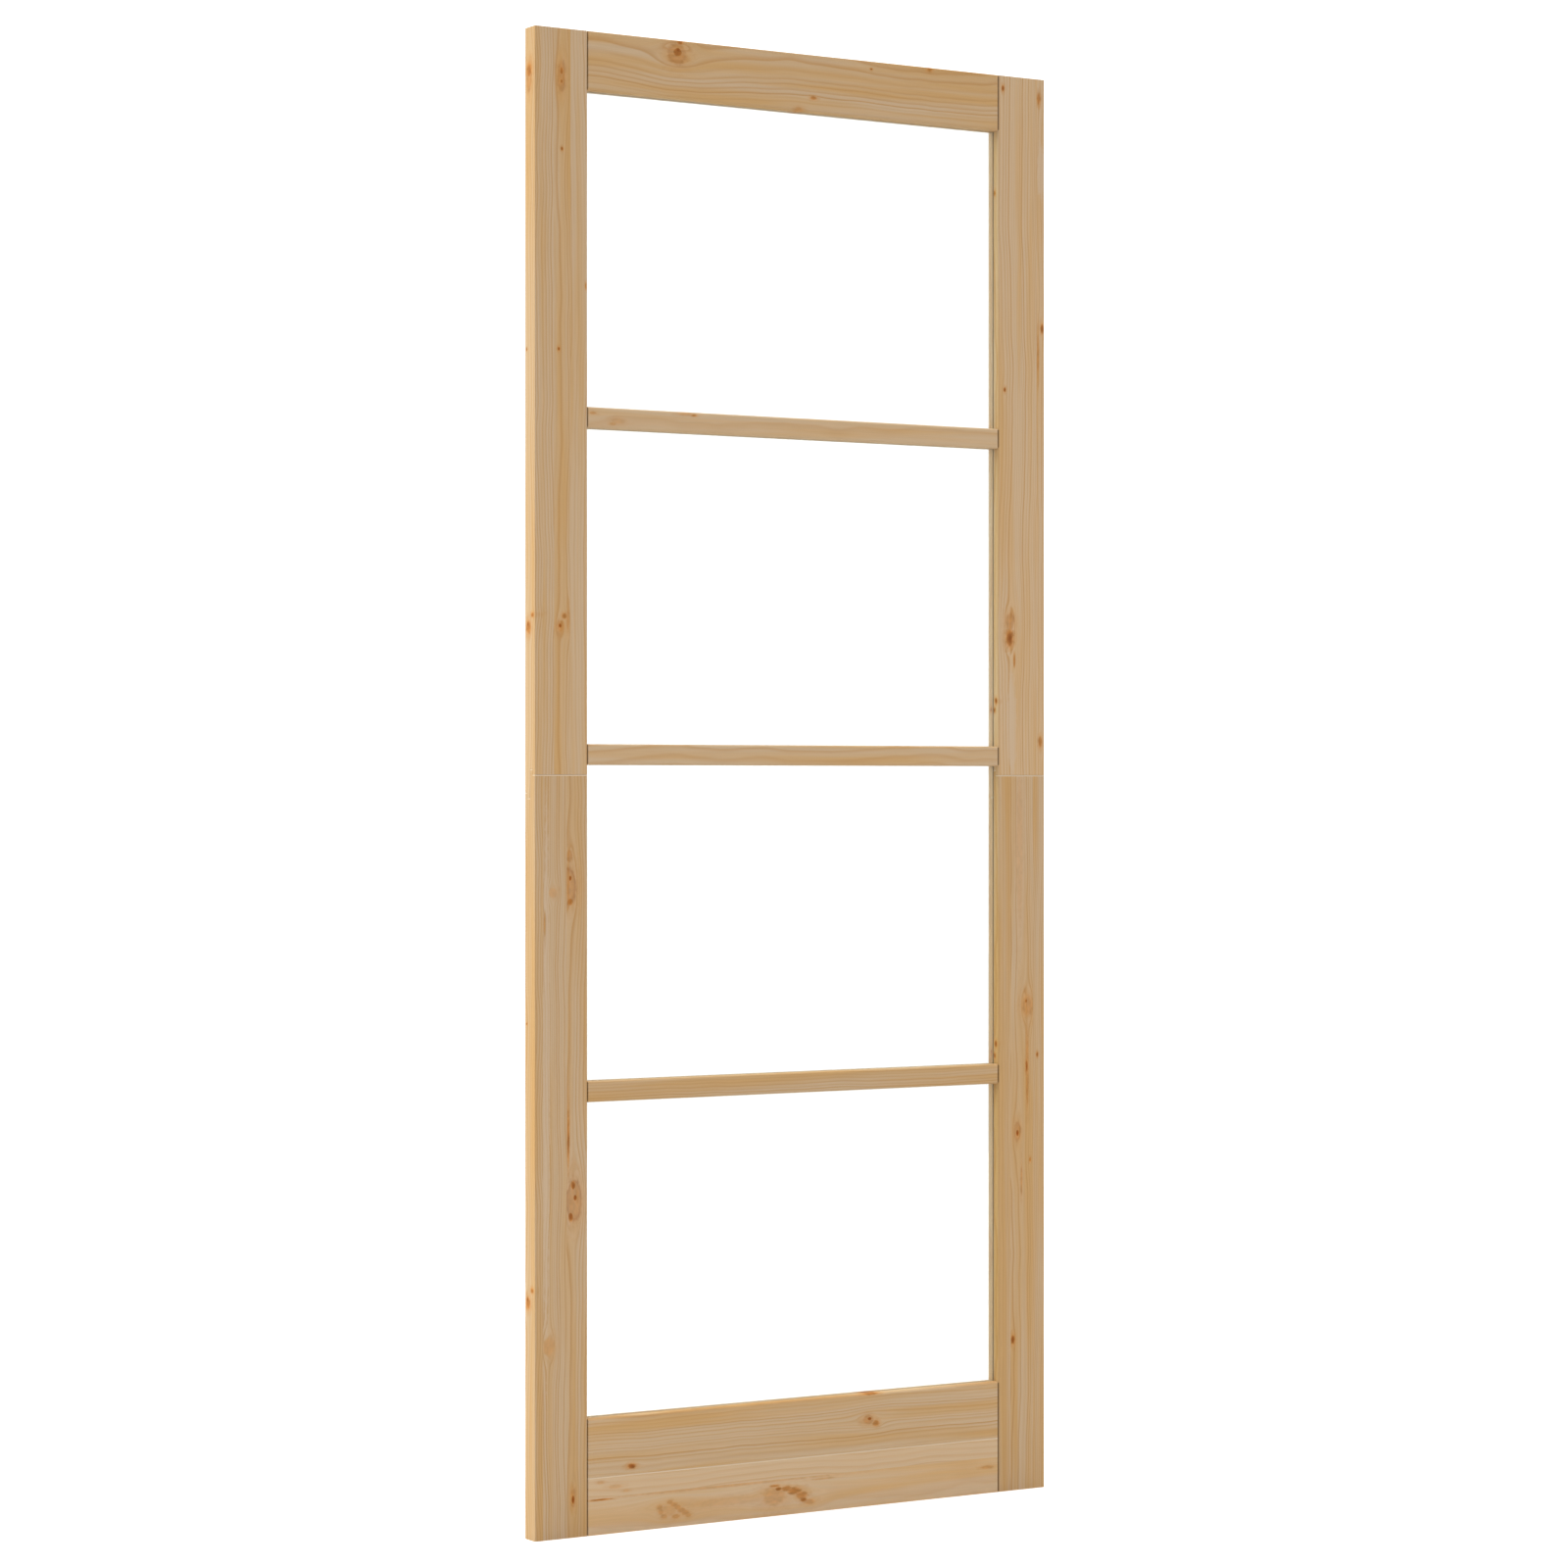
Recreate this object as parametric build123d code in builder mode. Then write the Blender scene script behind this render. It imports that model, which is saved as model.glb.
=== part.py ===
from build123d import *
import os

# Glazed interior door leaf in solid pine, of the kind that is put together from a flat pack.
# Two grooved stiles carry a top rail, a bottom rail of two boards and three glazing bars, and
# four panes of glass stand one above another in the grooves. Each stile is two lengths, which
# hook together at mid-height in a half-lap with nibs.
#
# Millimetres. The origin is at the foot of the hinge edge, at mid-thickness: +X runs across the
# leaf to the lock edge, +Y from the front face to the back, and +Z up.

# The leaf
leaf_width = 830.0
leaf_height = 2015.0
leaf_thickness = 28.0

# The frame's members, as they show on the face
stile_width = 80.0
top_rail_height = 79.5
upper_board_height = 79.5
lower_board_height = 77.5
bar_height = 28.0
bar_names = ("lower", "middle", "upper")
pane_names = ("bottom", "lower_middle", "upper_middle", "top")

# Glass, and the groove that it stands in
glass_thickness = 4.0
glass_face_clearance = 0.3
glass_edge_clearance = 2.0
glass_seam = 0.5
groove_depth = 9.0

# Tongues: at the ends of rails and bars, and between the two boards of the bottom rail. The
# shoulders of rails and bars stop short of the stiles, which leaves a dark line there.
tongue_end_clearance = 1.0
shoulder_gap = 0.8
board_tongue_height = 8.0
board_tongue_clearance = 0.5

# Rounded arrises: the leaf's outer edges, the stiles, rails and bars beside the glass, the ends
# of rails and bars, and the lower board where the upper one stands on it. The foot is square,
# because a leaf is trimmed there to fit its opening.
outer_round = 1.2
stile_glass_round = 2.0
rail_glass_round = 3.5
bar_glass_round = 3.0
shoulder_round = 1.2
board_round = 0.5
head_bevel = 0.6

# The hooked half-lap in each stile: the shoulder's height from the middle of the lap, the nib's
# height past the shoulder, the nib's distance from the face, the lean of its outer side, and the
# bevel along the joint on the lower length
lap_shoulder = 12.0
lap_nib = 7.2
lap_nib_inset = 6.2
lap_nib_lean = 0.8
lap_bevel = 0.6

# Worked out from the sizes above
front = -leaf_thickness / 2
back = leaf_thickness / 2
lap_middle = leaf_height / 2
groove_width = glass_thickness + 2 * glass_face_clearance
opening_width = leaf_width - 2 * stile_width
tongue_span = opening_width + 2 * (groove_depth - tongue_end_clearance)
top_rail_foot = leaf_height - top_rail_height
bottom_rail_top = lower_board_height + upper_board_height
glazed_height = top_rail_foot - bottom_rail_top
opening_height = (glazed_height - len(bar_names) * bar_height) / len(pane_names)
opening_pitch = opening_height + bar_height


def make_stile_half(end_height, bevel=0.0):
    """One length of the left stile, from the lap to the leaf's end at end_height."""
    # The lap's face runs from well in front of the stile to well behind it, and is the same for
    # both lengths. A bevelled length falls away from it where it meets the stile's surface.
    above = 1 if end_height > lap_middle else -1
    margin = leaf_thickness
    beyond = above * (bevel + margin) if bevel else 0.0
    lap_face = [
        (front - margin, lap_middle + lap_shoulder + beyond),
        (front + bevel, lap_middle + lap_shoulder),
        (front + lap_nib_inset, lap_middle + lap_shoulder),
        (front + lap_nib_inset + lap_nib_lean, lap_middle + lap_shoulder + lap_nib),
        (0, lap_middle + lap_shoulder + lap_nib),
        (0, lap_middle - lap_shoulder - lap_nib),
        (back - lap_nib_inset - lap_nib_lean, lap_middle - lap_shoulder - lap_nib),
        (back - lap_nib_inset, lap_middle - lap_shoulder),
        (back - bevel, lap_middle - lap_shoulder),
        (back + margin, lap_middle - lap_shoulder + beyond),
    ]
    past_end = end_height + above * margin
    outline = lap_face + [(back + margin, past_end), (front - margin, past_end)]

    with BuildPart() as lap_block:
        with BuildSketch(Plane.YZ.offset(bevel)):
            with BuildLine():
                Polyline(*outline, close=True)
            make_face()
        extrude(amount=stile_width - 2 * bevel)
        if bevel:
            for side in (faces().sort_by(Axis.X)[0], faces().sort_by(Axis.X)[-1]):
                extrude(side, amount=bevel, taper=45)

    with BuildPart() as half:
        with BuildSketch():
            with Locations((stile_width / 2, 0)):
                Rectangle(stile_width, leaf_thickness)
            fillet(vertices().group_by(Axis.X)[0], outer_round)
            fillet(vertices().group_by(Axis.X)[-1], stile_glass_round)
        extrude(amount=leaf_height)
        chamfer(faces().sort_by(Axis.Z)[-1].edges(), head_bevel)
        with BuildSketch():
            with Locations((stile_width, 0)):
                Rectangle(2 * groove_depth, groove_width)
        extrude(amount=leaf_height, mode=Mode.SUBTRACT)
        add(lap_block.part, mode=Mode.INTERSECT)
    return half.part


def make_rail(foot, height, lower_round, upper_round, lower_groove=0.0, upper_groove=0.0):
    """A board between the stiles, grooved along its edges, with a tongue at each end."""
    tongue_foot = foot + lower_groove
    tongue_top = foot + height - upper_groove
    body_length = opening_width - 2 * shoulder_gap
    body_start = stile_width + shoulder_gap

    with BuildPart() as rail:
        with BuildSketch(Plane.YZ.offset(body_start)):
            with Locations((0, foot + height / 2)):
                Rectangle(leaf_thickness, height)
            fillet(vertices().group_by(Axis.Y)[-1], upper_round)
            if lower_round:
                fillet(vertices().group_by(Axis.Y)[0], lower_round)
        extrude(amount=body_length)
        with BuildSketch(Plane.XY.offset(foot)):
            with Locations((leaf_width / 2, 0)):
                RectangleRounded(body_length, leaf_thickness, shoulder_round)
        extrude(amount=height, mode=Mode.INTERSECT)
        for edge, depth in ((foot, lower_groove), (foot + height, upper_groove)):
            if depth:
                with BuildSketch(Plane.YZ.offset(body_start)):
                    with Locations((0, edge)):
                        Rectangle(groove_width, 2 * depth)
                extrude(amount=body_length, mode=Mode.SUBTRACT)
        with Locations((leaf_width / 2, 0, (tongue_foot + tongue_top) / 2)):
            Box(tongue_span, groove_width, tongue_top - tongue_foot)
    return rail.part


def make_lower_board():
    """The lowest board, with a tongue along its upper edge for the board above it."""
    with BuildPart() as board:
        add(make_rail(0, lower_board_height, lower_round=0, upper_round=board_round))
        with Locations((leaf_width / 2, 0, lower_board_height)):
            Box(opening_width - 2 * shoulder_gap, groove_width, 2 * board_tongue_height)
    return board.part


def make_pane(sill):
    """A pane that rests on the bottom of the groove below it."""
    width = opening_width + 2 * (groove_depth - glass_edge_clearance)
    height = opening_height + 2 * groove_depth - glass_edge_clearance
    with BuildPart() as pane:
        with Locations((leaf_width / 2, 0, sill - groove_depth + height / 2)):
            Box(width, glass_thickness, height)
        chamfer(edges(), glass_seam)
    return pane.part


pieces = {}

for length, end_height, bevel in (("lower", 0.0, lap_bevel), ("upper", leaf_height, 0.0)):
    left_half = make_stile_half(end_height, bevel)
    with BuildPart() as right_half:
        mirror(left_half, about=Plane.YZ.offset(leaf_width / 2))
    pieces[f"left_stile_{length}"] = left_half
    pieces[f"right_stile_{length}"] = right_half.part

pieces["top_rail"] = make_rail(
    top_rail_foot, top_rail_height, rail_glass_round, outer_round, lower_groove=groove_depth
)
pieces["bottom_rail_upper_board"] = make_rail(
    lower_board_height,
    upper_board_height,
    lower_round=0,
    upper_round=rail_glass_round,
    lower_groove=board_tongue_height + board_tongue_clearance,
    upper_groove=groove_depth,
)
pieces["bottom_rail_lower_board"] = make_lower_board()

for level, bar_name in enumerate(bar_names):
    bar_foot = bottom_rail_top + opening_height + level * opening_pitch
    pieces[f"glazing_bar_{bar_name}"] = make_rail(
        bar_foot, bar_height, bar_glass_round, bar_glass_round, groove_depth, groove_depth
    )

for level, pane_name in enumerate(pane_names):
    pieces[f"glass_pane_{pane_name}"] = make_pane(bottom_rail_top + level * opening_pitch)

os.makedirs("parts", exist_ok=True)
for name, piece in pieces.items():
    piece.label = name
    export_step(piece, f"parts/{name}.step")
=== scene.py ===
from functools import partial
from math import radians

import bmesh
import bpy
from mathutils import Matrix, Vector


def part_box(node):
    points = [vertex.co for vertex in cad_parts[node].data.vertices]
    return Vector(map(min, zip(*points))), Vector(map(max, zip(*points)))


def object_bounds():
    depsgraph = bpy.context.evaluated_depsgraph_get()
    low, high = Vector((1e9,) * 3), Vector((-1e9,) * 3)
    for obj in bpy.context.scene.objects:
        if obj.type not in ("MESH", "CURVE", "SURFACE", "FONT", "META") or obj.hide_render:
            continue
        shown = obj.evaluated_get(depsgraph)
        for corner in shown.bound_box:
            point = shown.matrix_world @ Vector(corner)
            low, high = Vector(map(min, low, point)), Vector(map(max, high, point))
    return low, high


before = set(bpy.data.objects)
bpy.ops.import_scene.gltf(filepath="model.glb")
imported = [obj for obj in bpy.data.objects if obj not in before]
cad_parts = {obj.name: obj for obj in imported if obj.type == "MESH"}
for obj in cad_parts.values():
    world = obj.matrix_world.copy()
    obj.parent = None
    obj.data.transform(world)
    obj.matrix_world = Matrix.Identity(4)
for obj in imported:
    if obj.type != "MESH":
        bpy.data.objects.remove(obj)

cad_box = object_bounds()

# Stiles. Each upright is two lengths of pine that hook together at mid-height. A length is glued
# up edge to edge from two or three strips, each with its own tone, rings and knots, and is
# planed, sanded and left bare.
mm_per_m = 1000.0


def linear(code):
    """An sRGB hex colour as linear RGBA."""
    channels = [int(code[start:start + 2], 16) / 255 for start in (1, 3, 5)]
    return [c / 12.92 if c <= 0.04045 else ((c + 0.055) / 1.055) ** 2.4 for c in channels] + [1.0]


def add_node(tree, kind, inputs=(), stops=(), **settings):
    """Adds a node with its settings, sets or links its inputs, and returns it.

    Inputs are given in order, or by number or name. A node given as an input stands for its first
    output. Stops are the places on a ramp, in order, each with its grey level.
    """
    node = tree.nodes.new(kind if kind.startswith("NodeGroup") else "ShaderNode" + kind)
    for name, value in settings.items():
        setattr(node, name, value)
    if stops:
        ramp = node.color_ramp.elements
        while len(ramp) < len(stops):
            ramp.new(1.0)
        for element, (place, level) in zip(ramp, stops):
            element.position = place
            element.color = (level, level, level, 1)
    for socket, source in inputs.items() if isinstance(inputs, dict) else enumerate(inputs):
        if isinstance(source, bpy.types.Node):
            source = source.outputs[0]
        if isinstance(source, bpy.types.NodeSocket):
            tree.links.new(source, node.inputs[socket])
        else:
            node.inputs[socket].default_value = source
    return node


def new_group(name, inputs, outputs):
    """An empty node group with those sockets."""
    group = bpy.data.node_groups.new(name, "ShaderNodeTree")
    for direction, sockets in (("INPUT", inputs), ("OUTPUT", outputs)):
        for socket, kind in sockets.items():
            group.interface.new_socket(socket, in_out=direction, socket_type="NodeSocket" + kind)
    return group


# Knots. A knot is the foot of a branch, and ends where its strip does. Place is in millimetres
# along, across and through the board. Flow is where the grain at that place would be without the
# knots. Nearest is the square of the distance to the nearest knot, in knot radii, less in_strip.
in_strip = 1000.0
same_strip = 0.5
flow_reach = 1.8
faint_shade = 0.6
faint_core = 0.45
knot_blend = 0.2

knot_group = new_group(
    "pine_knot",
    {"Place": "Vector", "Flow": "Vector", "Strip": "Float", "Nearest": "Float", "Shade": "Float",
     "Centre": "Vector", "Turn": "Float", "Shape": "Vector", "Knot strip": "Float",
     "Knot shade": "Float"},
    {"Flow": "Vector", "Nearest": "Float", "Shade": "Float"},
)
put = partial(add_node, knot_group)
given = put("NodeGroupInput").outputs

# The distance to this knot. A faint knot has a floor to it, so that it gives way to a dark knot
# inside it.
offset = put("VectorMath", (given["Centre"], given["Place"]), operation="SUBTRACT")
offset = put("VectorRotate", {"Vector": offset, "Angle": given["Turn"]}, rotation_type="X_AXIS")
radii = put("VectorMath", (offset, given["Shape"]), operation="MULTIPLY")
outline = put("VectorMath", (radii, radii), operation="DOT_PRODUCT").outputs["Value"]
faint = put("Math", (given["Knot shade"], faint_shade), operation="LESS_THAN")
faint = put("Math", (faint, faint_core), operation="MULTIPLY")
outline = put("Math", (outline, faint), operation="MAXIMUM")
here = put("Math", (given["Strip"], given["Knot strip"], same_strip), operation="COMPARE")
outline = put("Math", (here, -in_strip, outline), operation="MULTIPLY_ADD")

# The grain parts round the knot, further along the board than the knot itself reaches. A knot with
# a shade below zero is a pale stain, which bends no grain.
reach = put("VectorMath", (radii, (1 / flow_reach, 1, 1)), operation="MULTIPLY")
reach = put("VectorMath", (reach, reach), operation="DOT_PRODUCT").outputs["Value"]
reach = put("Math", (reach, 1.0), operation="MAXIMUM")
bend = put("Math", (given["Knot shade"], 0.0), operation="GREATER_THAN")
bend = put("Math", (bend, here), operation="MULTIPLY")
bend = put("Math", (bend, reach), operation="DIVIDE")
bend = put("VectorMath", {0: offset, "Scale": bend}, operation="SCALE")
bend = put("VectorMath", (bend, (0, 1, 0)), operation="MULTIPLY")
bend = put("VectorRotate", {"Vector": bend, "Angle": given["Turn"]}, rotation_type="X_AXIS", invert=True)
flow = put("VectorMath", (given["Flow"], bend), operation="ADD")

# The nearest knot so far. Knots that touch run into each other.
nearer = put("Math", (given["Nearest"], outline), operation="SUBTRACT")
nearer = put("MapRange", (nearer, -knot_blend, knot_blend))
nearest = put("Math", (outline, given["Nearest"]), operation="MINIMUM")
shade = put("Mix", {0: nearer, 2: given["Shade"], 3: given["Knot shade"]})
put("NodeGroupOutput", (flow, nearest, shade))

# Bare pine. Soft rings and broad bands turn it from beige to tan, and knots are orange-brown with a
# dark heart, or pale with a dark rim. Sanding leaves the wood matt. End grain is darker; at the
# rails' shoulders that darkening is also painted shade in the gaps. A pale band along a joint is a
# painted highlight, and painted shade darkens a stile in the cracks beside the rails. The fibres are
# drawn thicker than real ones, so that they show.
pine_beige = linear("#D7BA97")
pine_tan = linear("#D6AD78")
pine_summer = linear("#C4925A")
pine_heart = linear("#9A5218")
pine_branch = linear("#A8662C")
pine_amber = linear("#D08F48")
pine_stain = linear("#DBC2A6")
# The colour of a painted highlight, a pale band along the arris at a joint
pine_painted_highlight = linear("#EAD3B6")

figure_group = new_group(
    "pine_figure",
    {"Place": "Vector", "Flow": "Vector", "Pith": "Vector", "Tone": "Float", "Tan": "Float",
     "Seed": "Float", "Nearest": "Float", "Shade": "Float", "Painted highlight": "Float", "Grain": "Vector",
     "End grain and painted shoulder shade": "Float", "Painted crack shade": "Float"},
    {"Color": "Color", "Roughness": "Float"},
)
put = partial(add_node, figure_group)
given = put("NodeGroupInput").outputs

# Rings, round a pith that wanders a little. Their widths are uneven, and each is most orange where
# its summer growth ends.
pith_wander_mm = 16.0
pith_wander_length_mm = 330.0
ring_uneven_mm = 26.0
ring_uneven_share = 3.0
ring_profile = ((0.0, 0.3), (0.07, 0.0), (0.5, 0.08), (0.9, 1.0), (1.0, 0.3))
ring_strength = (0.15, 0.95)
crosswise = (0, 1, 1)

along = put("SeparateXYZ", (given["Flow"],))
along = put("Math", (along, 1 / pith_wander_length_mm, given["Seed"]), operation="MULTIPLY_ADD")
wander = put("TexNoise", {"W": along, "Scale": 1.0, "Detail": 3.0}, noise_dimensions="1D")
wander = put("VectorMath", (wander.outputs["Color"], (0, pith_wander_mm, pith_wander_mm), given["Flow"]),
             operation="MULTIPLY_ADD")
wander = put("VectorMath", (wander, crosswise), operation="MULTIPLY")
pith = put("VectorMath", (given["Pith"], crosswise), operation="MULTIPLY")
radius = put("VectorMath", (wander, pith), operation="DISTANCE").outputs["Value"]
width = put("SeparateXYZ", (given["Pith"],))
uneven = put("Math", (radius, 1 / ring_uneven_mm, given["Seed"]), operation="MULTIPLY_ADD")
uneven = put("TexNoise", {"W": uneven, "Scale": 1.0, "Detail": 1.0}, noise_dimensions="1D")
rings = put("Math", (radius, width), operation="DIVIDE")
rings = put("Math", (uneven, ring_uneven_share, rings), operation="MULTIPLY_ADD")
ring = put("Math", (rings,), operation="FRACT")
summer = put("ValToRGB", (ring,), stops=ring_profile)
which = put("Math", (rings,), operation="FLOOR")
which = put("Math", (which, given["Seed"]), operation="ADD")
strength = put("TexWhiteNoise", {"W": which}, noise_dimensions="1D")
strength = put("MapRange", (strength.outputs["Value"], 0, 1, *ring_strength))
summer = put("Math", (summer, strength), operation="MULTIPLY")

# Bands and fibres, which follow the grain
band_size_mm = (420.0, 16.0, 16.0)
band_tan = 0.7
fibre_size_mm = (55.0, 0.9, 0.9)
fibre_lightness = (0.95, 1.05)
fibre_roughness = (0.5, 0.66)
most_noise = (0.2, 0.8)
middle_noise = (0.3, 0.7)

seeds = put("CombineXYZ", (given["Seed"], given["Seed"], 0.0))
band = put("VectorMath", (given["Flow"], [1 / size for size in band_size_mm], seeds),
           operation="MULTIPLY_ADD")
band = put("TexNoise", {"Vector": band, "Scale": 1.0, "Detail": 2.0})
fibre = put("VectorMath", (given["Flow"], [1 / size for size in fibre_size_mm], seeds),
            operation="MULTIPLY_ADD")
fibre = put("TexNoise", {"Vector": fibre, "Scale": 1.0, "Detail": 2.0})
tan = put("MapRange", (band, *middle_noise, -band_tan, band_tan))
tan = put("Math", (tan, given["Tan"]), operation="ADD", use_clamp=True)
colour = put("Mix", {0: tan, 6: pine_beige, 7: pine_tan}, data_type="RGBA").outputs[2]
colour = put("Mix", {0: summer, 6: colour, 7: pine_summer}, data_type="RGBA").outputs[2]
lightness = put("MapRange", (fibre, *most_noise, *fibre_lightness))
lightness = put("Math", (lightness, given["Tone"]), operation="MULTIPLY")
colour = put("VectorMath", {0: colour, "Scale": lightness}, operation="SCALE")
roughness = put("MapRange", (fibre, *most_noise, *fibre_roughness))

# Distance from a knot, in knot radii, which mottling makes uneven
knot_mottle_mm = (9.0, 4.0, 4.0)
knot_uneven = (0.72, 1.28)

mottle = put("VectorMath", (given["Place"], [1 / size for size in knot_mottle_mm]), operation="MULTIPLY")
mottle = put("TexNoise", {"Vector": mottle, "Scale": 1.0, "Detail": 3.0})
even = put("Math", (given["Nearest"], in_strip), operation="ADD")
even = put("Math", (even,), operation="SQRT")
uneven = put("MapRange", (mottle, *most_noise, *knot_uneven))
distance = put("Math", (even, uneven), operation="MULTIPLY")

# A pale stain
stain_edge = (0.8, 1.15)

stain = put("MapRange", (distance, *stain_edge, 1, 0))
paleness = put("Math", (given["Shade"], -1.0), operation="MULTIPLY", use_clamp=True)
stain = put("Math", (stain, paleness), operation="MULTIPLY")
colour = put("Mix", {0: stain, 6: colour, 7: pine_stain}, data_type="RGBA").outputs[2]

# A knot's amber halo and brown branch
halo_radii = 2.4
halo_profile = ((0.0, 0.98), (0.33, 0.9), (0.42, 0.68), (0.52, 0.36), (1.0, 0.0))
full_cover_shade = 0.65
brown_shades = (0.35, 0.85)
branch_edge = (0.5, 1.15)

halo = put("Math", (distance, halo_radii), operation="DIVIDE")
halo = put("ValToRGB", (halo,), stops=halo_profile)
cover = put("MapRange", (given["Shade"], 0, full_cover_shade))
cover = put("Math", (cover, halo), operation="MULTIPLY")
brown = put("MapRange", (given["Shade"], *brown_shades))
inside = put("MapRange", (distance, *branch_edge, 1, 0))
brown = put("Math", (brown, inside), operation="MULTIPLY")
branch = put("Mix", {0: brown, 6: pine_amber, 7: pine_branch}, data_type="RGBA").outputs[2]

# A dark knot's heart, and a faint knot's dark rim and pale inside
heart_edge = (0.25, 1.0)
heart_shades = (0.6, 1.0)
rim_uneven_share = 0.4
rim_radius = 0.95
rim_edge = (0.04, 0.28)
rim_darkness = 0.75
rim_shades = (0.47, 0.56)
pale_inside = 0.4
knot_flecks = (0.8, 1.2)

heart = put("MapRange", (distance, *heart_edge, 1, 0))
dark = put("MapRange", (given["Shade"], *heart_shades))
heart = put("Math", (heart, dark), operation="MULTIPLY")
rim = put("Mix", {0: rim_uneven_share, 2: even, 3: distance})
rim = put("Math", (rim, rim_radius), operation="SUBTRACT")
rim = put("Math", (rim,), operation="ABSOLUTE")
rim = put("MapRange", (rim, *rim_edge, rim_darkness, 0))
faint = put("Math", (given["Shade"], faint_shade), operation="LESS_THAN")
rimmed = put("MapRange", (given["Shade"], *rim_shades))
rimmed = put("Math", (rimmed, faint), operation="MULTIPLY")
rim = put("Math", (rim, rimmed), operation="MULTIPLY")
hollow = put("Math", (rimmed, -pale_inside, 1.0), operation="MULTIPLY_ADD")
cover = put("Math", (cover, hollow), operation="MULTIPLY")
heart = put("Math", (heart, rim), operation="MAXIMUM")
branch = put("Mix", {0: heart, 6: branch, 7: pine_heart}, data_type="RGBA").outputs[2]
flecks = put("MapRange", (mottle, *middle_noise, *knot_flecks))
branch = put("VectorMath", {0: branch, "Scale": flecks}, operation="SCALE")
cover = put("Math", (cover, heart), operation="MAXIMUM")
colour = put("Mix", {0: cover, 6: colour, 7: branch}, data_type="RGBA").outputs[2]

# A painted highlight along a joint, the end grain (at the rails' shoulders also painted shade), and painted
# shade in the cracks
end_facing = (0.25, 0.85)

colour = put("Mix", {0: given["Painted highlight"], 6: colour, 7: pine_painted_highlight}, data_type="RGBA").outputs[2]
normal = put("TexCoord").outputs["Normal"]
end_grain = put("VectorMath", (normal, given["Grain"]), operation="DOT_PRODUCT").outputs["Value"]
end_grain = put("Math", (end_grain,), operation="ABSOLUTE")
end_grain = put("MapRange", (end_grain, *end_facing, 1, given["End grain and painted shoulder shade"]))
darker = put("Math", (end_grain, given["Painted crack shade"]), operation="MULTIPLY")
colour = put("VectorMath", {0: colour, "Scale": darker}, operation="SCALE")
put("NodeGroupOutput", (colour, roughness))

strip_seed = 17.3
grain_relief_mm = 0.03
knot_depth_mm = 45.0
edge_knot_depth_mm = 14.0
# The height of the painted highlight band just below a joint
painted_highlight_mm = 1.8
stile_end_shade = 0.72
# Rails' end grain is darker, and this darkening also stands as painted shade in the shoulder gaps
shoulder_end_grain_and_painted_shade = 0.9
# Painted shade on a stile's inner arris, in the cracks beside the rails and bars
painted_crack_mm = 1.1
painted_crack_shade = 0.45
painted_crack_end_mm = 1.5
rails = (
    "bottom_rail_lower_board", "bottom_rail_upper_board", "top_rail",
    "glazing_bar_lower", "glazing_bar_middle", "glazing_bar_upper",
)


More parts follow.
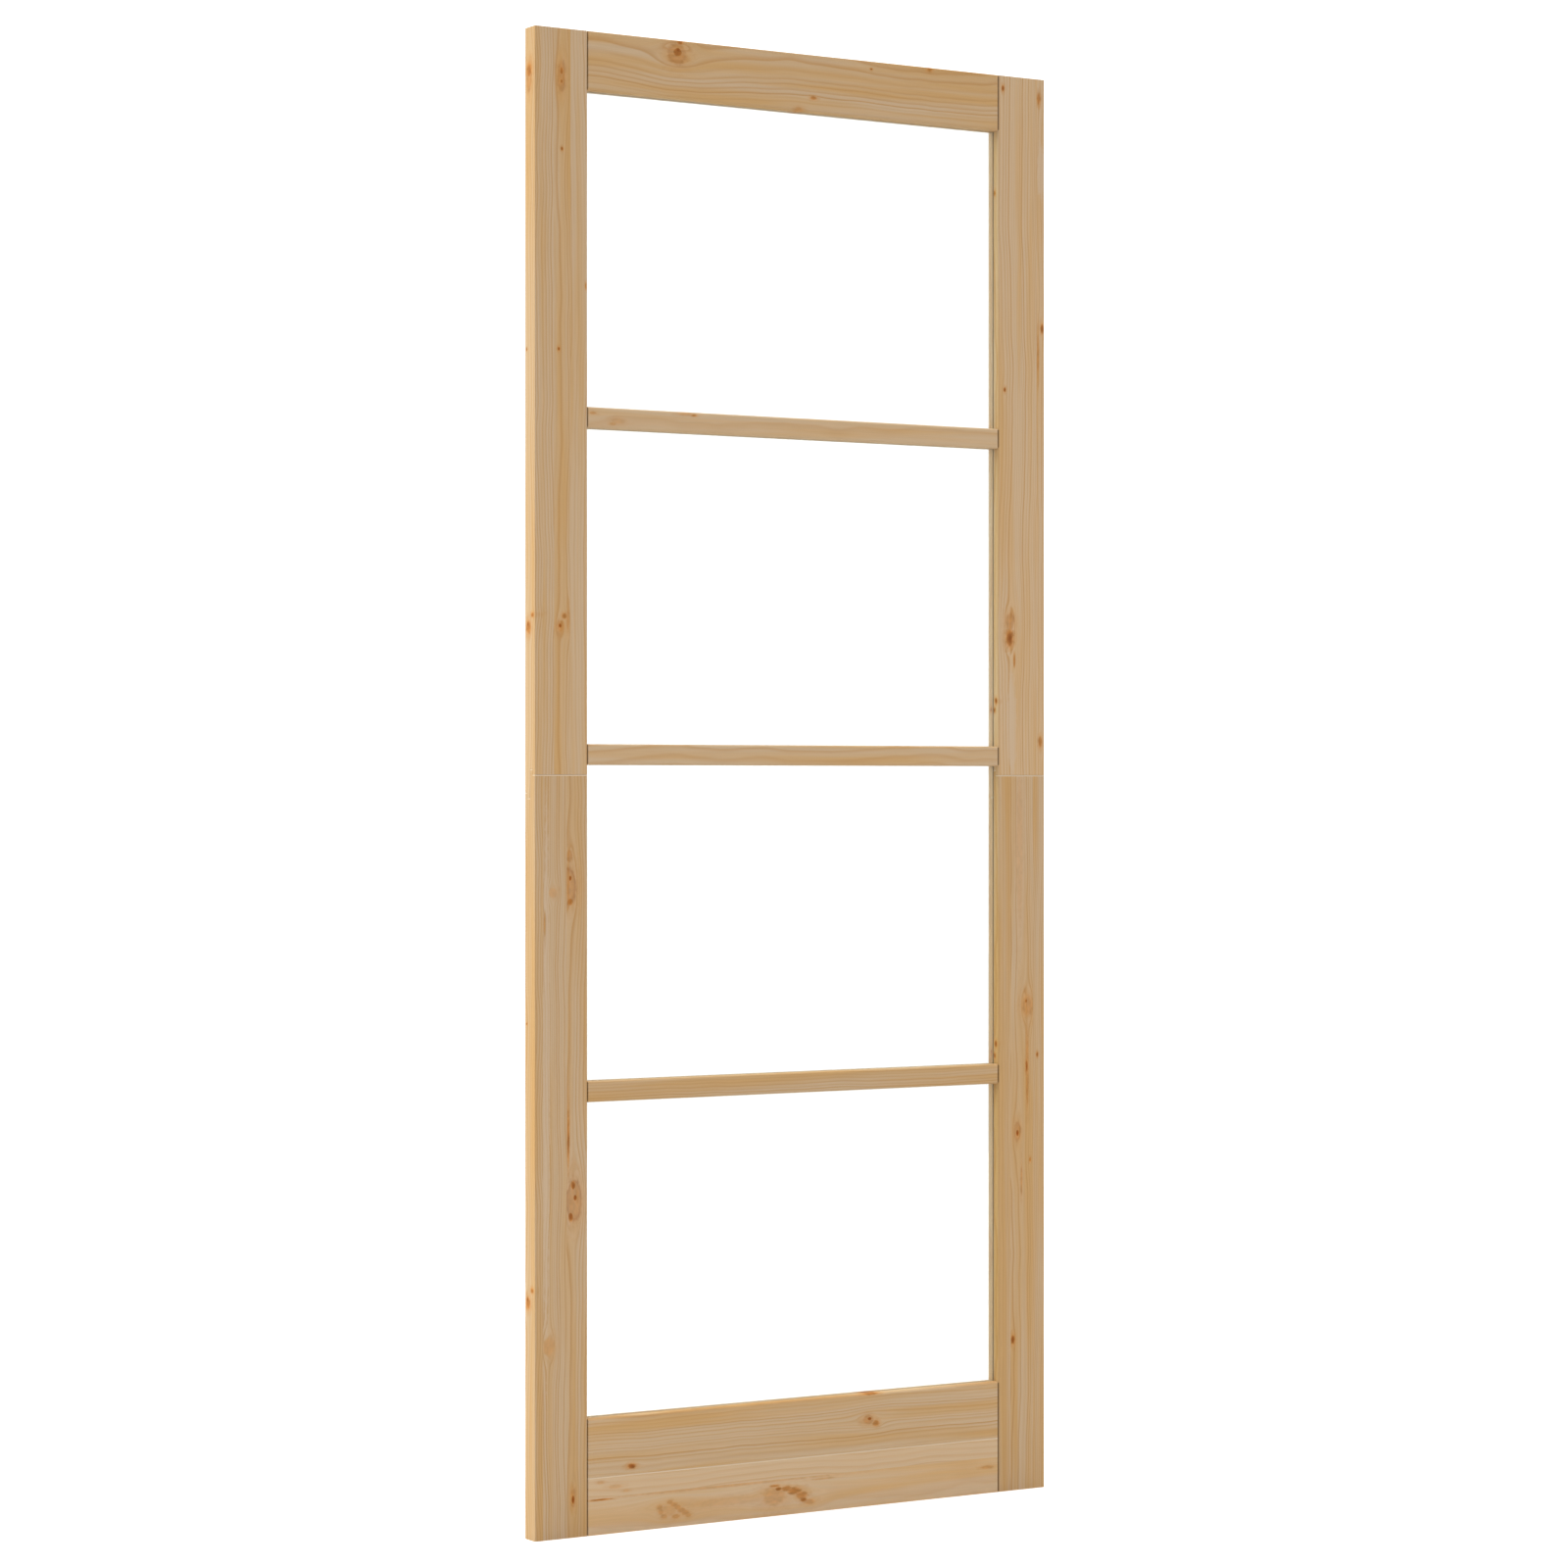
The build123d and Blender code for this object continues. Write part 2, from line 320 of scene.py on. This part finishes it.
def pine(node, grain, seed, tone, strips, knots, edge_knots=(), joint=None):
    """Bare pine for one board.

    grain is the board's axis, and tone is how light the board is beside the others. A strip is
    its far edge, its share of tan, its ring width and its pith, across and through. A knot is its
    place along and across, its radius, how many times longer than wide it is, its shade, and its
    lean in degrees. An edge knot lies across the board instead, in the first strip, and has its
    place through the board. A joint is the height of the board's upper end, the rise of its front
    shoulder above that and the fall of its back one, and the rise and reach of a nib at
    mid-thickness; a pale band along the arris there is a painted highlight. A stile is darkened
    with painted shade in the cracks beside the rails. All lengths are millimetres.
    """
    low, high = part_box(node)
    material = bpy.data.materials.new("pine_" + node)
    material.use_nodes = True
    tree = material.node_tree
    tree.nodes.clear()
    put = partial(add_node, tree)

    if grain == "Z":
        across_axis, start = "X", (low.x, 0, 0)
    else:
        across_axis, start = "Z", (0, 0, low.z)
    place = put("VectorMath", (put("TexCoord").outputs["Object"], start), operation="SUBTRACT")
    place = put("VectorMath", {0: place, "Scale": mm_per_m}, operation="SCALE")
    axes = put("SeparateXYZ", (place,)).outputs
    across, up, through = axes[across_axis], axes["Z"], axes["Y"]
    place = put("CombineXYZ", (axes[grain], across, through))

    edges = [strip[0] for strip in strips[:-1]]
    strip_number, tan, pith = 0.0, strips[0][1], strips[0][2:]
    for edge, strip in zip(edges, strips[1:]):
        past = put("Math", (across, edge), operation="GREATER_THAN")
        strip_number = put("Math", (past, strip_number), operation="ADD")
        tan = put("Mix", {0: past, 2: tan, 3: strip[1]})
        pith = put("Mix", {0: past, 4: pith, 5: strip[2:]}, data_type="VECTOR").outputs[1]
    if edges:
        seed = put("Math", (strip_number, strip_seed, seed), operation="MULTIPLY_ADD")

    front = low.y * mm_per_m
    branches = [((along, aside, front), lean, knot_depth_mm, *rest) for along, aside, *rest, lean in knots]
    branches += [((along, 0, inward), 90, edge_knot_depth_mm, *rest) for along, inward, *rest in edge_knots]
    flow, nearest, shade = place, 0.0, 0.0
    for centre, lean, depth, radius, stretch, darkness in branches:
        length = radius * stretch
        knot = put("Group", node_tree=knot_group, inputs={
            "Place": place, "Flow": flow, "Strip": strip_number, "Nearest": nearest, "Shade": shade,
            "Centre": centre, "Turn": -radians(lean), "Shape": (1 / length, 1 / radius, 1 / depth),
            "Knot strip": float(sum(centre[1] > edge for edge in edges)), "Knot shade": darkness,
        }).outputs
        flow, nearest, shade = knot["Flow"], knot["Nearest"], knot["Shade"]

    # A pale band painted as a highlight along the arris just below the joint
    painted_highlight = 0.0
    if joint:
        height, shoulder, nib, nib_reach = joint
        side = put("Math", (through,), operation="SIGN")
        from_middle = put("Math", (through,), operation="ABSOLUTE")
        step = put("Math", (from_middle, nib_reach), operation="LESS_THAN")
        step = put("Math", (step, nib, shoulder), operation="MULTIPLY_ADD")
        level = put("Math", (side, step, up), operation="MULTIPLY_ADD")
        painted_highlight = put("Math", (level, height - painted_highlight_mm), operation="GREATER_THAN")

    # Painted shade: the stile's inner arris is darkened where a rail or bar meets it
    painted_crack = 1.0
    if grain == "Z":
        leaf_middle = (cad_box[0][0] + cad_box[1][0]) / 2
        inner_edge = 0.0 if low.x > leaf_middle else (high.x - low.x) * mm_per_m
        painted_crack = put("Math", (across, inner_edge, painted_crack_mm), operation="COMPARE")
        beside = 0.0
        for rail in rails:
            foot, head = (corner.z * mm_per_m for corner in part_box(rail))
            half = (head - foot) / 2
            met = put("Math", (up, foot + half, half - painted_crack_end_mm), operation="COMPARE")
            beside = put("Math", (met, beside), operation="MAXIMUM")
        painted_crack = put("Math", (painted_crack, beside), operation="MULTIPLY")
        painted_crack = put("MapRange", (painted_crack, 0, 1, 1, painted_crack_shade))

    figure = put("Group", node_tree=figure_group, inputs={
        "Place": place, "Flow": flow, "Pith": pith, "Tone": tone, "Tan": tan, "Seed": seed,
        "Nearest": nearest, "Shade": shade, "Painted highlight": painted_highlight, "Grain": (grain == "X", 0, grain == "Z"),
        "End grain and painted shoulder shade": stile_end_shade if grain == "Z" else shoulder_end_grain_and_painted_shade, "Painted crack shade": painted_crack,
    }).outputs
    relief = put("VectorMath", (place, [1 / size for size in fibre_size_mm]), operation="MULTIPLY")
    relief = put("TexNoise", {"Vector": relief, "Scale": 1.0, "Detail": 2.0})
    relief = put("Bump", {"Height": relief, "Distance": grain_relief_mm / mm_per_m, "Strength": 1.0})
    wood = put("BsdfPrincipled", {
        "Base Color": figure["Color"], "Roughness": figure["Roughness"], "Normal": relief,
        "Specular IOR Level": 0.08,
    })
    put("OutputMaterial", (wood,))
    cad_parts[node].material_slots[0].material = material


lap_joint = (1007.5, 12, 7.2, 7.4)

pine("left_stile_lower", "Z", 2.0, 0.955, (
    (12, 0.45, 3.4, -55, 60), (48, 0.0, 3.6, -50, 30), (80, 0.4, 4.0, 150, 35),
), (
    (870, 49.5, 12, 2.0, 0.54, 0), (881, 53.5, 2.6, 1.8, 0.9, 10), (850, 53, 4.0, 1.3, 0.65, 10),
    (911, 52, 4.0, 1.8, 0.5, 0), (862, 27, 6.0, 1.0, 0.3, 0), (822, 15, 2.0, 12, 0.3, 0),
    (533, 50.6, 1.4, 26, 0.7, 0), (450, 59.5, 11, 2.4, 0.54, -8), (470, 58, 3.8, 1.7, 0.78, -8),
    (454, 61, 3.4, 1.5, 0.85, -8), (429, 54.5, 3.6, 1.8, 0.82, -8), (258, 21, 8.0, 1.5, 0.3, 0),
    (53, 57.8, 3.6, 3.2, 0.5, 8), (51, 57.8, 3.0, 2.6, 1.0, 8), (620, 17, 5.0, 70, -0.5, 0),
), (
    (333, -6, 3.6, 0.9, 0.66), (315, 5, 6.0, 1.4, 0.64), (319, 6.3, 3.4, 1.4, 0.8),
    (687, 9, 1.4, 1.3, 0.7),
), joint=lap_joint)
pine("left_stile_upper", "Z", 5.0, 1.0, (
    (28.8, 0.1, 3.4, -50, 60), (54, 0.75, 3.6, -30, 60), (80, 0.15, 3.6, 150, 30),
), (
    (1951, 40, 6.0, 3.2, 0.5, 8), (1944, 40.2, 2.2, 1.8, 0.72, 8), (1958, 40.2, 3.4, 2.2, 0.68, 8),
    (1854, 41, 1.7, 1.5, 0.8, 0), (1587, 36, 1.8, 1.6, 0.9, 0), (1673, 77.6, 1.5, 3.0, 0.6, 0),
    (1217, 38, 5.5, 1.3, 0.48, 8), (1218, 38, 3.2, 1.3, 1.0, 8), (1231, 44.5, 3.5, 1.0, 0.6, 8),
    (1226, 50, 1.6, 9.0, 0.5, 0),
), (
    (1946, 2, 6.5, 2.4, 0.5), (1956, 2, 7.0, 1.7, 0.64), (1586, 9, 1.5, 1.3, 0.7),
    (1216, 4, 6.0, 1.4, 0.64), (1219, 5.5, 3.4, 1.4, 0.8), (1232, -7, 3.6, 0.9, 0.66),
))
pine("right_stile_lower", "Z", 9.0, 0.965, (
    (21, 0.7, 3.6, -70, 20), (60, 0.5, 4.0, -30, 50), (80, 0.45, 3.4, 160, 10),
), (
    (691, 50, 9.0, 1.6, 0.45, 0), (697, 48, 3.0, 1.3, 0.7, 0), (600, 50, 2.0, 22, 0.5, 0),
    (604, 49.3, 2.2, 5.0, 0.8, 0), (620, 67.4, 1.8, 1.8, 0.7, 0), (511, 33, 5.4, 2.4, 0.52, 8),
    (509, 33, 3.2, 1.9, 1.0, 8), (470, 55, 1.6, 2.0, 0.6, 0), (441, 40, 1.4, 14, 0.5, 0),
    (215, 25, 3.2, 2.2, 0.92, 8), (916, 37, 5.0, 20, 0.2, 0),
), (
    (637, -7.5, 3.0, 1.6, 0.9), (620, -4.6, 2.5, 1.6, 0.8), (625, 5.2, 2.2, 1.8, 0.8),
), joint=lap_joint)
pine("right_stile_upper", "Z", 13.0, 1.045, (
    (66.5, 0.18, 3.8, -50, 40), (80, 0.2, 3.4, 140, 10),
), (
    (1997, 7.7, 2.4, 2.0, 0.9, 0), (1987, 70, 3.0, 2.5, 0.6, 0), (1659, 76, 3.0, 2.5, 0.8, 0),
    (1620, 68.6, 1.6, 16, 0.5, 0), (1568, 10.8, 2.0, 1.8, 0.9, 0), (1238, 20, 7.0, 1.7, 0.5, 8),
    (1215, 19.5, 6.5, 2.0, 0.78, 8), (1214, 19.5, 3.0, 1.8, 0.95, 8),
    (1183, 27.5, 1.6, 6.0, 0.6, 0), (1067, 73, 3.0, 2.5, 0.6, 0),
    (1090, 23.5, 8.0, 9.0, -0.5, 0), (1884, 74, 7.0, 5.5, -0.6, 0),
), (
    (1848, -4.6, 2.0, 2.0, 0.7), (1125, -7.8, 3.0, 1.5, 0.9), (1112, -4, 2.5, 1.5, 0.8),
    (1113, 6, 2.5, 1.5, 0.8),
))

# Rails. The top rail is one board, and the bottom rail is two that stand edge to edge, the upper
# grooved over a tongue on the lower. They are solid pine, sawn nearer the bark than the stiles,
# so their rings show as wide flowing lines.
board_joint = (77.5, 0, 0, 0)

pine("top_rail", "X", 21.0, 1.0, (
    (79.5, 0.6, 5.5, 95, 45),
), (
    (219, 61.5, 13, 1.05, 0.52, 3), (220, 63.5, 8.0, 1.2, 0.7, 3), (220.5, 66.5, 4.0, 1.2, 0.92, 3),
    (224, 77, 3.0, 1.5, 0.7, 3),
    (534, 68.7, 1.5, 1.3, 0.8, 0), (438, 20, 2.5, 2.0, 0.6, 0), (632, 77, 3.0, 1.5, 0.6, 0),
    (415, 1, 4.0, 1.5, 0.4, 0),
))
pine("bottom_rail_upper_board", "X", 25.0, 1.0, (
    (79.5, 0.35, 4.6, -40, 30),
), (
    (148, 11, 3.4, 1.9, 0.9, 0), (529, 43, 5.5, 1.5, 0.5, 0), (531, 44, 3.0, 1.5, 0.95, 0),
    (542, 37, 4.0, 1.3, 0.6, 0), (533, 79, 1.8, 7.0, 0.66, 0),
))
pine("bottom_rail_lower_board", "X", 29.0, 1.11, (
    (50, 0.25, 7.5, 45, 55), (77.5, -0.6, 5.5, -60, 60),
), (
    (101, 47, 1.2, 14, 0.65, 0), (100, 70, 1.6, 3.0, 0.32, 0), (123, 62.6, 2.5, 4.0, 0.28, 0),
    (140, 56, 1.6, 3.0, 0.28, 0), (206, 23, 7.0, 1.5, 0.26, 0), (192, 28, 3.2, 1.2, 0.42, 0),
    (194, 22, 3.4, 1.2, 0.44, 0), (199, 16, 3.4, 1.4, 0.44, 0), (217, 14, 2.8, 2.0, 0.46, 0),
    (208, 34, 2.4, 1.8, 0.44, 0), (214, 30, 2.8, 1.8, 0.46, 0), (220, 26, 2.8, 1.8, 0.46, 0),
    (226, 22, 3.0, 1.8, 0.46, 0), (232, 18, 3.0, 1.8, 0.46, 0), (237, 14, 2.4, 1.8, 0.42, 0),
    (305, 27, 5.0, 13, 0.2, 0), (374, 27, 11, 1.7, 0.38, 0),
    (381, 36.5, 3.0, 1.7, 0.7, 0), (375, 41.5, 1.8, 4.0, 0.6, 0), (394, 36, 3.4, 2.4, 0.6, 0),
    (407, 32, 4.5, 2.4, 0.62, 0), (419, 25, 5.0, 1.8, 0.6, 0), (422, 18.5, 2.8, 1.9, 0.72, 0),
    (432, 15, 3.5, 2.5, 0.45, 0), (730, 37, 2.0, 5.0, 0.45, 0), (453, 44.8, 1.0, 17, 0.35, 0),
    (290, 48.5, 1.6, 90, 0.3, 0),
), joint=board_joint)

# Glazing bars. Square sticks of pine, grooved above and below for the glass, and tongued into the
# stiles' grooves at each end. Each is sawn from another part of a log, so each has its own tone
# and its own lines.
pine("glazing_bar_lower", "X", 33.0, 0.945, ((28, 0.5, 3.6, 70, 10),), ())
pine("glazing_bar_middle", "X", 37.0, 1.0, ((28, 0.15, 5.0, -10, 60),), ())
pine("glazing_bar_upper", "X", 41.0, 1.02, (
    (28, 0.22, 6.0, 5, 50),
), (
    (88, 20, 1.5, 3.0, 0.5, 0), (127, 11, 4.0, 2.2, 0.25, 0), (119, 7, 1.8, 2.5, 0.35, 0),
    (234, 25, 1.8, 7.0, 0.35, 0), (246, 24, 1.6, 3.0, 0.6, 0),
))

# Panes. Clear float glass, 4 mm thick, with seamed edges, held loosely in the grooves all round.
# It is faintly green. Wiping leaves a thin film, which veils what is seen through it, and leaves
# the glass a little less sharp in some places than in others.
wipe_mm = 90.0
wiped_noise = (0.4, 0.8)
wiped_roughness = 0.02

glass = bpy.data.materials.new("clear_float_glass")
glass.use_nodes = True
glass.node_tree.nodes.clear()
put = partial(add_node, glass.node_tree)
wiped = put("TexNoise", {"Vector": put("TexCoord").outputs["Object"], "Scale": mm_per_m / wipe_mm})
wiped = put("MapRange", (wiped, *wiped_noise, 0, wiped_roughness))
pane = put("BsdfPrincipled", {
    "Base Color": linear("#EEF1EF"), "Roughness": wiped, "IOR": 1.52, "Transmission Weight": 0.82,
})
unbent = put("BsdfTransparent", (linear("#E6EBE8"),))
light_path = put("LightPath").outputs
pane = put("MixShader", (light_path["Is Shadow Ray"], pane, unbent))
pane = put("MixShader", (light_path["Is Diffuse Ray"], pane, unbent))
put("OutputMaterial", (pane,))
for name in ("bottom", "lower_middle", "upper_middle", "top"):
    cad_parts["glass_pane_" + name].material_slots[0].material = glass

# Floor. A plain disc in pale matt paint, rolled on, that the leaf stands on. It glows a little, so
# that it stays white, and it is duller in the light that it throws back on the leaf.
floor_radius = 6.0
rolled_mm = 40.0
paint_roughness = (0.85, 0.95)

floor_mesh = bmesh.new()
bmesh.ops.create_circle(floor_mesh, cap_ends=True, segments=96, radius=floor_radius)
floor = bpy.data.objects.new("floor", bpy.data.meshes.new("floor"))
floor_mesh.to_mesh(floor.data)
floor_mesh.free()
bpy.context.scene.collection.objects.link(floor)
paint = bpy.data.materials.new("pale_floor_paint")
paint.use_nodes = True
paint.node_tree.nodes.clear()
put = partial(add_node, paint.node_tree)
rolled = put("TexNoise", {"Vector": put("TexCoord").outputs["Object"], "Scale": mm_per_m / rolled_mm})
rolled = put("MapRange", (rolled, 0, 1, *paint_roughness))
bright = put("BsdfPrincipled", {
    "Base Color": linear("#F6F5F3"), "Roughness": rolled, "Specular IOR Level": 0.1,
    "Emission Color": linear("#FFFFFF"), "Emission Strength": 0.35,
})
dull = put("BsdfDiffuse", (linear("#C8C6C2"),))
bounced = put("LightPath").outputs["Is Diffuse Ray"]
put("OutputMaterial", (put("MixShader", (bounced, bright, dull)),))
floor.data.materials.append(paint)

# Light. A white studio: an even surround, a wide softbox overhead, a slightly warm one from the
# left and a little behind the leaf, and a weaker one from the front on the right. The surround is
# brighter as a backdrop, where it is seen straight, through the glass or in a reflection.
surround = 0.38
backdrop = 1.5

studio = bpy.data.worlds.new("white_studio")
bpy.context.scene.world = studio
studio.use_nodes = True
studio.node_tree.nodes.clear()
put = partial(add_node, studio.node_tree)
seen = put("LightPath").outputs
seen_straight = put("Math", (seen["Is Camera Ray"], seen["Is Transmission Ray"]), operation="MAXIMUM")
seen_straight = put("Math", (seen_straight, seen["Is Glossy Ray"]), operation="MAXIMUM")
scattered = put("Math", (seen["Diffuse Depth"], 0.5), operation="GREATER_THAN")
seen_straight = put("Math", (seen_straight, scattered), operation="SUBTRACT", use_clamp=True)
brightness = put("MapRange", (seen_straight, 0, 1, surround, backdrop))
put("OutputWorld", (put("Background", {"Color": (1, 1, 1, 1), "Strength": brightness}),))

for name, direction, strength, width, colour in (
    ("overhead", (0.0, 0.05, 1.0), 3.1, 60, "#FFFFFF"),
    ("left", (-0.85, 0.53, 0.25), 1.77, 40, "#FFFBE2"),
    ("right_front", (0.6, -0.75, 0.3), 0.47, 40, "#FFFFFF"),
):
    lamp = bpy.data.lights.new("softbox_" + name, "SUN")
    lamp.energy = strength
    lamp.angle = radians(width)
    lamp.color = linear(colour)[:3]
    softbox = bpy.data.objects.new("softbox_" + name, lamp)
    softbox.rotation_euler = Vector(direction).to_track_quat("Z", "Y").to_euler()
    bpy.context.scene.collection.objects.link(softbox)
bpy.context.scene.view_settings.view_transform = "Standard"

# Camera. A long lens at half the leaf's height, from the left of its front. It is level, so that
# upright lines stay upright.
lens = bpy.data.cameras.new("camera")
lens.lens = 97.43
lens.sensor_width = 36.0
camera = bpy.data.objects.new("camera", lens)
camera.location = (-2.7108, -4.9678, 1.0068)
camera.rotation_euler = (radians(90), 0, radians(-32.0455))
bpy.context.scene.collection.objects.link(camera)
bpy.context.scene.camera = camera
